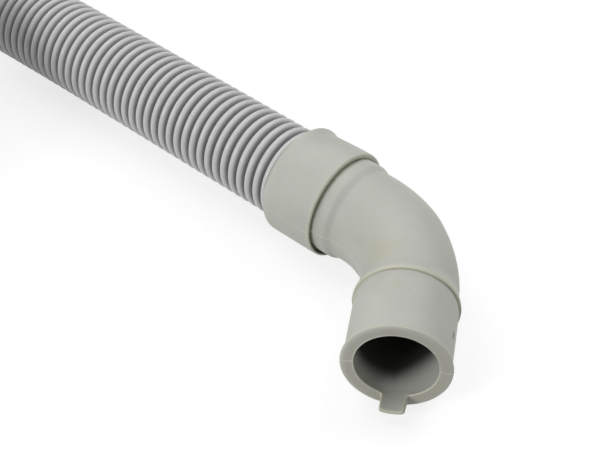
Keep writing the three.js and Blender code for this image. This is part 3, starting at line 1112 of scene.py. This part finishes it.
@dataclass
class HoseRoute:
    """Route of the hose: straight out of the cuff, onto the surface, once round and once more on top."""

    elbow: Elbow
    coil_radius: float = 126.6 * MM
    coil_start: float = 206.8 * MM
    turn_gap: float = 0.3 * MM
    tie_thickness: float = 1.0 * MM
    climb_start: float = math.radians(245)
    climb_end: float = math.radians(340)
    last_rise: float = 0.85
    step: float = 1.0 * MM
    ease_steps: int = 12
    # Height at even distances from the cuff's mouth
    seat_at: float = -13.1 * MM
    first_at: float = -6 * MM
    run_step: float = 12 * MM
    level: float = 15 * MM
    level_points: int = 9
    sag: tuple[float, ...] = (0.0149, 0.01465, 0.0143, 0.01405, 0.0139, 0.01385, 0.01385, 0.01385)

    @property
    def lower_height(self) -> float:
        """Height of the lower turn's centre."""
        return self.tie_thickness + self.elbow.clearance + self.elbow.hose_radius

    @property
    def upper_height(self) -> float:
        """Height of the upper turn's centre."""
        return self.lower_height + 2 * self.elbow.hose_radius + self.turn_gap

    @property
    def end_height(self) -> float:
        """Height of the straight end's centre, which lies on the lower turn with its cuff."""
        return self.lower_height + self.elbow.hose_radius + self.elbow.clearance + self.elbow.cuff_radius

    @property
    def heading(self) -> float:
        """Direction of the hose where it leaves the cuff, from +X."""
        return math.pi / 2 + self.elbow.bend_angle

    @property
    def end_turn(self) -> float:
        """Angle along the coil at which the hose leaves it, so that it then points along +X."""
        return 2 * FULL_TURN - self.heading

    def placed(self, points: np.ndarray) -> np.ndarray:
        """Turns points from the cuff's own frame, with X along the hose, into the part's frame.

        Args:
            points: rows of distance along the hose, distance to its left and height.

        Returns:
            Rows in the part's frame.
        """
        mouth = self.elbow.centreline(np.array([self.elbow.cuff_mouth]))[0][0]
        c, s = math.cos(self.heading), math.sin(self.heading)
        x = mouth[0] + c * points[..., 0] - s * points[..., 1]
        y = mouth[1] + s * points[..., 0] + c * points[..., 1]
        return np.stack([x, y, points[..., 2]], axis=-1)

    def coil_points(self, turn: np.ndarray, height: np.ndarray) -> np.ndarray:
        """Points on the coil's circle in the cuff's own frame, by the sine and cosine of the turn.

        Args:
            turn: angles along the coil from where the hose meets it.
            height: heights of the centreline.

        Returns:
            Rows of distance along the hose, distance to its left and height.
        """
        along = self.coil_start + self.coil_radius * np.sin(turn)
        left = self.coil_radius * (1 - np.cos(turn))
        return np.stack([along, left, height], axis=-1)

    def turn_height(self, turn: np.ndarray) -> np.ndarray:
        """Height along the coil: level, one eased climb onto the lower turn, level, and a last small rise.

        Args:
            turn: angles along the coil.

        Returns:
            Heights of the centreline.
        """
        climb = smooth((turn - self.climb_start) / (self.climb_end - self.climb_start))
        share = (turn - self.climb_end) / (self.end_turn - self.climb_end)
        rise = smooth((share - self.last_rise) / (1 - self.last_rise))
        level = self.lower_height + (self.upper_height - self.lower_height) * climb
        return level + (self.end_height - self.upper_height) * rise

    def end_seat(self) -> tuple[np.ndarray, np.ndarray]:
        """Seat of the straight end on the hose.

        Returns:
            Centre of its cuff's mouth, and the direction that it points in.
        """
        end = self.coil_points(np.array([self.end_turn]), np.array([self.end_height]))
        turn = self.end_turn + self.heading
        return self.placed(end)[0], np.array([math.cos(turn), math.sin(turn), 0.0])

    def centreline(self) -> np.ndarray:
        """The whole centreline: a straight run whose heights are eased by a moving mean, then the coil.

        Returns:
            Close points from the elbow's socket to the straight end's, one row each.
        """
        heights = np.array([self.level] * self.level_points + list(self.sag))
        known = np.concatenate([[self.seat_at, self.first_at], np.arange(len(heights) - 1) * self.run_step])
        x = np.arange(self.seat_at, self.coil_start, self.step)
        padded = np.interp(x, known, np.concatenate([[self.level], heights]))
        reach = self.ease_steps
        widened = np.concatenate([np.full(reach, padded[0]), padded, np.full(reach, padded[-1])])
        z = np.convolve(widened, np.full(2 * reach + 1, 1 / (2 * reach + 1)), "valid")
        straight = np.stack([x, np.zeros_like(x), z], axis=-1)
        turn = np.linspace(0, self.end_turn, int(self.end_turn * self.coil_radius / self.step))
        coil = self.coil_points(turn, self.turn_height(turn))
        ahead = np.linspace(0, self.elbow.socket_depth - self.elbow.clearance, 14)[1:, None]
        way = np.array([[math.cos(self.end_turn), math.sin(self.end_turn), 0.0]])
        return self.placed(np.concatenate([straight, coil, coil[-1] + ahead * way]))


@dataclass
class CorrugatedHose:
    """Corrugated hose: round rings with narrow valleys, at an even pitch along the whole route."""

    route: HoseRoute
    pitch: float = 3.0 * MM
    ring_radius: float = 0.93 * MM
    valley_depth: float = 1.9 * MM
    valley_half: float = 0.4 * MM
    first_valley: float = 2.3 * MM
    bore_radius: float = 9.9 * MM
    bore_step: float = 8 * MM
    near_length: float = 150 * MM
    near_swell: float = 0.15 * MM
    near_columns: int = 56

    def stations(
        self, span: tuple[int, int], angles: tuple[float, ...], shoulder: float, start: float
    ) -> np.ndarray:
        """Repeats one ring's outline along the hose: valley, wall, and a round crest as a half circle.

        Args:
            span: number of the first ring and the number after the last one.
            angles: degrees of the crest's points, from 180 down to 0.
            shoulder: half width of the valley's floor, or 0 for a plain one.
            start: place of ring 0's first valley.

        Returns:
            Three rows: places along the hose, radii, and how deep in the valley each station is.
        """
        a = np.radians(np.array(angles))
        crest_at = self.pitch / 2 + self.ring_radius * np.cos(a)
        crest_below = self.ring_radius * (1 - np.sin(a))
        floor = [self.valley_depth]
        if shoulder:
            at = np.concatenate([[0, shoulder], crest_at, [self.pitch - shoulder]])
            below = np.concatenate([floor * 2, crest_below, floor])
        else:
            at = np.concatenate([[0], crest_at])
            below = np.concatenate([floor, crest_below])
        along = (start + np.arange(*span)[:, None] * self.pitch + at).ravel()
        below = np.tile(below, span[1] - span[0])
        # How much dust and painted shade darken each station
        valley = smooth(below / self.valley_depth * 1.15 - 0.1)
        return np.stack([along, self.route.elbow.hose_radius - below, valley])

    def circles(self, points: np.ndarray, measured: np.ndarray, part: np.ndarray, columns: int) -> np.ndarray:
        """Circles square to the route: centre plus radius times the side and upward vectors.

        Args:
            points: the route's close points.
            measured: their distances along the route.
            part: where the circles go, their radii and how deep in a valley they are, as three rows.
            columns: how many points a circle has.

        Returns:
            The vertices, one circle after the other.
        """
        way = np.gradient(points, measured, axis=0)
        centre, tangent = (
            np.stack([np.interp(part[0], measured, values[:, i]) for i in range(3)], axis=-1)
            for values in (points, way)
        )
        tangent /= np.linalg.norm(tangent, axis=1, keepdims=True)
        side = np.cross(tangent, [0.0, 0.0, 1.0])
        side /= np.linalg.norm(side, axis=1, keepdims=True)
        upward = np.cross(side, tangent)
        theta = np.arange(columns)[None, :, None] * FULL_TURN / columns
        ring = np.cos(theta) * side[:, None, :] + np.sin(theta) * upward[:, None, :]
        return (centre[:, None, :] + part[1][:, None, None] * ring).reshape(-1, 3)

    def build(self, finish: BlownPolypropylene) -> tuple[bpy.types.Object, np.ndarray]:
        """Builds the hose: circles of changing radius at stations along the route, with a bore inside.

        Near the elbow the rings have more stations and columns than in the coil, and one row of
        triangles joins the two. The bore is one more run of circles back to the start.

        Args:
            finish: the hose's plastic.

        Returns:
            The finished piece and the points that its centreline follows.
        """
        points = self.route.centreline()
        measured = np.concatenate([[0], np.cumsum(np.linalg.norm(np.diff(points, axis=0), axis=1))])
        total = measured[-1]
        start = (self.first_valley - self.route.seat_at) % self.pitch
        rings = int((total - start) / self.pitch)
        near = int((self.near_length - start) / self.pitch)
        fine = self.stations((0, near), (178, 150, 120, 90, 60, 30, 2), self.valley_half, start)
        fine[1] += self.near_swell
        plain = self.stations((near, rings), (170, 112, 68, 10), 0.0, start)
        floor = self.route.elbow.hose_radius - self.valley_depth
        back = np.append(np.arange(total, 0, -self.bore_step), 0)
        bore = np.stack([back, np.full_like(back, self.bore_radius), np.ones_like(back)])
        parts = (
            np.concatenate([[[0], [floor], [1]], fine], axis=1),
            np.concatenate([plain, [[total], [floor], [1]], bore], axis=1),
        )
        blocks, faces, valleys, first = [], [], [], 0
        for part, columns in zip(parts, (self.near_columns, self.near_columns // 2)):
            blocks.append(self.circles(points, measured, part, columns))
            valleys.append(np.repeat(part[2], columns))
            faces.append(grid_faces(part.shape[1], columns, first))
            first += len(blocks[-1])
        near_count, half = len(blocks[0]), self.near_columns // 2
        faces.append(halving_faces(near_count - self.near_columns, near_count, half, True))
        faces.append(halving_faces(0, first - half, half, False))
        vertices, valley = np.concatenate(blocks), np.concatenate(valleys)
        piece = mesh_piece("corrugated_hose", vertices, faces, finish.material(), 75, valley=valley)
        marks = np.concatenate([[0], start + np.arange(rings) * self.pitch, [total]])
        LOG.info("%d rings", rings)
        return piece, np.stack([np.interp(marks, measured, points[:, i]) for i in range(3)], axis=-1)


@dataclass
class CoilTie:
    """Nylon cable tie round both turns of the coil: strap, head and the cut end of the strap."""

    route: HoseRoute
    turn: float = math.radians(118)
    width: float = 4.8 * MM
    thickness: float = 1.0 * MM
    edge: float = 0.15 * MM
    head: Point = (3.6 * MM, 7.0 * MM, 6.5 * MM)
    head_edge: float = 0.5 * MM
    tail: float = 5.0 * MM
    tail_gap: float = 0.1 * MM
    tail_hidden: float = 2 * MM
    tail_share: float = 0.96

    def frame(self) -> tuple[np.ndarray, np.ndarray, np.ndarray]:
        """Frame that the tie is built in.

        Returns:
            Centre of the turns under the tie, and the directions outwards and along the coil.
        """
        low = self.route.coil_points(np.array([self.turn]), np.array([0.0]))
        turn = self.turn + self.route.heading
        outward = np.array([math.sin(turn), -math.cos(turn), 0.0])
        return self.route.placed(low)[0], outward, np.array([math.cos(turn), math.sin(turn), 0.0])

    def strap(self, low: float, high: float, inner: float) -> np.ndarray:
        """Flat section carried round two half circles and the straights between them.

        Args:
            low: height of the lower turn's centre.
            high: height of the upper turn's centre.
            inner: radius of the strap's inner side.

        Returns:
            Distances outwards, along the coil and upwards, as an array of stations by corners.
        """
        half = np.radians(np.linspace(0, 180, 37))
        top = np.stack([np.cos(half), np.sin(half), np.full_like(half, high)], axis=-1)
        bottom = np.stack([-np.cos(half), -np.sin(half), np.full_like(half, low)], axis=-1)
        straight = np.linspace(low, high, 14)[1:-1]
        right, left = (
            np.stack([np.full_like(z, side), np.zeros_like(z), z], axis=-1)
            for side, z in ((1, straight), (-1, straight[::-1]))
        )
        way = np.concatenate([right, top, left, bottom])[:, None, :]
        w, h, e = self.width / 2, self.thickness, self.edge
        # Section corners as distance out and place across, with broken edges
        section = np.array(
            [(0, -w + e), (0, w - e), (e, w), (h - e, w), (h, w - e), (h, -w + e), (h - e, -w), (e, -w)]
        )
        out = inner + section[:, 0]
        across = np.broadcast_to(section[:, 1], way.shape[:1] + out.shape)
        return np.stack([way[..., 0] * out, across, way[..., 1] * out + way[..., 2]], axis=-1)

    def build(self, finish: NaturalNylon) -> bpy.types.Object:
        """Builds the tie: the strap, its head, and its cut end below the head.

        Args:
            finish: the nylon.

        Returns:
            The finished piece.
        """
        low, high = self.route.lower_height, self.route.upper_height
        inner = self.route.elbow.hose_radius + self.route.elbow.clearance
        strap = self.strap(low, high, inner)
        middle, tail = (low + high) / 2, self.tail + self.tail_hidden
        head_out = inner + self.thickness / 2 + self.head[0] / 2
        tail_out = inner + self.thickness * 1.5 + self.tail_gap
        tail_up = middle - (self.head[2] + self.tail - self.tail_hidden) / 2
        tail_size = (self.thickness, self.width * self.tail_share, tail)
        shapes = [
            (strap.reshape(-1, 3), [grid_faces(*strap.shape[:2], closed_rows=True)]),
            rounded_box((head_out, 0.0, middle), self.head, self.head_edge),
            rounded_box((tail_out, 0.0, tail_up), tail_size, self.edge),
        ]
        centre, outward, along = self.frame()
        turned = np.stack([outward, along, [0.0, 0.0, 1.0]])
        faces, count = [], 0
        for points, sides in shapes:
            faces += [side + count for side in sides]
            count += len(points)
        vertices = centre + np.concatenate([points for points, _ in shapes]) @ turned
        return mesh_piece("coil_tie_nylon", vertices, faces, finish.material(), 35)


def rounded_box(place: Point, size: Point, edge: float) -> tuple[np.ndarray, list[np.ndarray]]:
    """A box with round edges: a grid on a sphere, its points pushed out to the box's corners.

    Args:
        place: the box's middle.
        size: its three sides.
        edge: radius of its edges.

    Returns:
        Its vertices, and its quads and the triangles of its two ends.
    """
    lat = np.radians(np.array([-89.9, -60, -30, -0.1, 0.1, 30, 60, 89.9]))
    lon = np.radians(np.concatenate([np.array([0.1, 30, 60, 89.9]) + q for q in (0, 90, 180, 270)]))
    u, v = np.meshgrid(lat, lon, indexing="ij")
    ball = np.stack([np.cos(u) * np.cos(v), np.cos(u) * np.sin(v), np.sin(u)], axis=-1)
    corner = np.sign(np.stack([np.cos(v), np.sin(v), np.sin(u)], axis=-1)) * (np.array(size) / 2 - edge)
    middles = np.array([(0, 0, -size[2] / 2), (0, 0, size[2] / 2)])
    points = np.concatenate([(corner + edge * ball).reshape(-1, 3), middles])
    low = np.arange(len(lon))
    high, count = low + (len(lat) - 1) * len(lon), len(lat) * len(lon)
    bottom = np.stack([np.roll(low, -1), low, np.full_like(low, count)], axis=-1)
    top = np.stack([high, np.roll(high, -1), np.full_like(low, count + 1)], axis=-1)
    return points + np.array(place), [grid_faces(len(lat), len(lon))[:, ::-1], bottom, top]


@dataclass
class Studio:
    """Plain pale floor, soft light, and the camera at the photograph's angle."""

    focal_pixels: float = 1479.97
    frame_pixels: float = 600.0
    sensor: float = 36.0
    azimuth: float = 0.16458739
    elevation: float = 0.74071954
    roll: float = 0.0045370
    distance: float = 0.384043
    aim: Point = (-0.030557, 0.044745, 0.0)
    floor_size: float = 6.0
    floor_diffuse: float = 0.32
    floor_glow: float = 0.76
    ambient: float = 0.28
    # Name, place, length of the side and power in watts
    lamps: tuple[tuple[str, Point, float, float], ...] = (
        ("key_lamp", (-0.45, 0.25, 0.9), 0.6, 2.8),
        ("back_lamp", (0.4, 0.45, 0.8), 0.6, 3.9),
        ("side_lamp", (-0.7, -0.7, 0.45), 0.3, 5.0),
    )

    def camera(self, mouth: np.ndarray) -> None:
        """Puts the camera at the photograph's angle.

        Args:
            mouth: centre of the elbow's mouth, from which the aim is measured.
        """
        a, e = self.azimuth, self.elevation
        back = Vector((math.sin(a) * math.cos(e), -math.cos(a) * math.cos(e), math.sin(e)))
        right = (-back).cross(Vector((0, 0, 1))).normalized()
        upward = right.cross(-back)
        c, s = math.cos(self.roll), math.sin(self.roll)
        data = bpy.data.cameras.new("camera")
        data.lens = self.focal_pixels / self.frame_pixels * self.sensor
        data.sensor_width = self.sensor
        data.clip_start = 0.01
        camera = bpy.data.objects.new("camera", data)
        turn = Matrix((c * right + s * upward, -s * right + c * upward, back)).transposed()
        spot = Vector(mouth) + Vector(self.aim) + self.distance * back
        camera.matrix_world = Matrix.Translation(spot) @ turn.to_4x4()
        bpy.context.scene.collection.objects.link(camera)
        bpy.context.scene.camera = camera

    def seen_directly(self, tree: Tree) -> Socket:
        """Share of rays that come from the camera or through gloss or glass.

        Args:
            tree: the node tree.

        Returns:
            The socket with 1 for such rays and 0 for others.
        """
        path = add_node(tree, "ShaderNodeLightPath").outputs
        share = path["Is Camera Ray"]
        for other in ("Is Glossy Ray", "Is Transmission Ray"):
            rays = {0: share, 1: path[other]}
            share = add_node(tree, "ShaderNodeMath", rays, operation="MAXIMUM").outputs[0]
        return share

    def floor(self) -> None:
        """Makes the paper floor, which looks white and keeps the object's shadow."""
        half = self.floor_size / 2
        corners = np.array([(-half, -half, 0), (half, -half, 0), (half, half, 0), (-half, half, 0)])
        material = bpy.data.materials.new("white_paper")
        material.use_nodes = True
        tree = material.node_tree
        tree.nodes.remove(tree.nodes["Principled BSDF"])
        paper = add_node(tree, "ShaderNodeBsdfDiffuse", {"Color": linear(Tone.FLOOR)})
        soft = add_node(tree, "ShaderNodeBsdfDiffuse", {"Color": (*[self.floor_diffuse] * 3, 1)})
        shine = {"Color": linear(Tone.WHITE), "Strength": self.floor_glow}
        glow = add_node(tree, "ShaderNodeEmission", shine)
        lifted = add_node(tree, "ShaderNodeAddShader", {0: soft.outputs[0], 1: glow.outputs[0]})
        parts = {0: self.seen_directly(tree), 1: paper.outputs[0], 2: lifted.outputs[0]}
        mix = add_node(tree, "ShaderNodeMixShader", parts)
        feed(tree, tree.nodes["Material Output"].inputs["Surface"], mix.outputs[0])
        floor = mesh_piece("floor", corners, [np.array([[0, 1, 2, 3]])], material, 40)

    def world(self) -> None:
        """Lights the scene evenly and shows white behind it."""
        world = bpy.data.worlds.new("studio")
        bpy.context.scene.world = world
        world.use_nodes = True
        tree = world.node_tree
        background = tree.nodes["Background"]
        ends = {"Value": self.seen_directly(tree), 3: self.ambient, 4: 1.0}
        feed(tree, background.inputs["Color"], linear(Tone.WHITE))
        feed(tree, background.inputs["Strength"], add_node(tree, "ShaderNodeMapRange", ends).outputs[0])

    def build(self, mouth: np.ndarray) -> None:
        """Sets up the camera, the floor, the world and the soft square lamps, which look at the elbow.

        Args:
            mouth: centre of the elbow's mouth.
        """
        self.camera(mouth)
        self.floor()
        self.world()
        for name, place, size, power in self.lamps:
            data = bpy.data.lights.new(name, "AREA")
            data.shape = "SQUARE"
            data.size = size
            data.energy = power
            lamp = bpy.data.objects.new(name, data)
            lamp.location = place
            lamp.rotation_euler = (-Vector(place)).to_track_quat("-Z", "Y").to_euler()
            bpy.context.scene.collection.objects.link(lamp)
        bpy.context.scene.view_settings.view_transform = "Standard"


@dataclass
class DrainHose:
    """The whole drain hose, with its pieces in the order in which they are made."""

    elbow: Elbow = field(default_factory=Elbow)
    # Tone, millimetres behind the mouth, degrees from the outer side upwards, radius in mm, strength
    marks: tuple[tuple[Tone, float, float, float, float], ...] = (
        (Tone.STAIN, 33, 134, 5.6, 0.3),
        (Tone.STAIN, 29, 118, 5.6, 0.3),
        (Tone.STAIN, 27, 133, 5.6, 0.3),
        (Tone.STAIN, 42, 150, 2.4, 0.35),
        (Tone.STAIN, 14.5, 99, 2.0, 0.4),
        (Tone.STAIN, 17.5, 120, 2.2, 0.25),
        (Tone.DARK_SPOT, 13, 86, 0.3, 0.3),
        (Tone.DARK_SPOT, 7.9, 17, 0.8, 0.9),
        (Tone.DARK_SPOT, 8.7, 17, 0.8, 0.9),
        (Tone.DARK_SPOT, 9.5, 17, 0.8, 0.9),
        (Tone.SCUFF, 73.75, 92, 0.4, 0.3),
        (Tone.SCUFF, 72, 101, 0.35, 0.6),
        (Tone.SCUFF, 58.75, 113, 0.45, 0.5),
        (Tone.SCUFF, 29.5, 94, 0.3, 0.4),
    )

    def on_elbow(self, along: float, degrees: float) -> Point:
        """Point on the elbow's outer surface.

        Args:
            along: distance behind the mouth.
            degrees: angle round the tube from its outer side upwards.

        Returns:
            The point in the part's frame.
        """
        elbow = self.elbow
        centre, outward = elbow.centreline(np.array([along]))
        a = math.radians(degrees)
        steps = (elbow.spigot_length, elbow.rim_at - elbow.collar_length, elbow.rim_at)
        wall, tube = elbow.spigot_radius, elbow.tube_radius
        radii = (wall, tube, tube + elbow.collar_height, elbow.cuff_radius)
        radius = radii[int(np.searchsorted(steps, along))]
        spot = centre[0] + outward[0] * radius * math.cos(a)
        spot[2] += radius * math.sin(a)
        return tuple(float(value) for value in spot)

    def settle(self, piece: bpy.types.Object, slot: str, *nodes: str) -> None:
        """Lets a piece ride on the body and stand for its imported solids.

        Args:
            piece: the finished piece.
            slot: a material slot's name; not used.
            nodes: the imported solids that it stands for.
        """
        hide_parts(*nodes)
        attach(piece, "root")
        triangles = sum(len(p.vertices) - 2 for p in piece.data.polygons)
        LOG.info("%s: %d vertices, %d triangles", piece.name, len(piece.data.vertices), triangles)

    def build(self) -> None:
        """Builds every piece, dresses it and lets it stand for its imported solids."""
        Studio().build(self.elbow.mouth_centre())
        route = HoseRoute(self.elbow)
        hose, path = CorrugatedHose(route).build(BlownPolypropylene())
        self.settle(hose, "corrugated_plastic", "drain_hose", "hose_coil", "hose_upper_turn")
        straight = StraightEnd().build(route, MouldedRubber(name="moulded_epdm_rubber_end"))
        self.settle(straight, "moulded_rubber", "straight_end")
        tie = CoilTie(route).build(NaturalNylon())
        self.settle(tie, "tie_plastic", "coil_tie")
        marks = tuple(
            Mark(self.on_elbow(along * MM, degrees), radius * MM, strength, tone)
            for tone, along, degrees, radius, strength in self.marks
        )
        elbow = self.elbow.build(MouldedRubber(marks=marks))
        self.settle(elbow, "moulded_rubber", "elbow_end")
        mouth, _ = self.elbow.centreline(np.array([self.elbow.cuff_mouth]))


def main() -> None:
    """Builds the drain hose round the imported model."""
    logging.basicConfig(level=logging.INFO, format="%(name)s: %(message)s")
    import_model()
    DrainHose().build()
    bpy.context.view_layer.update()


if __name__ == "__main__":
    main()
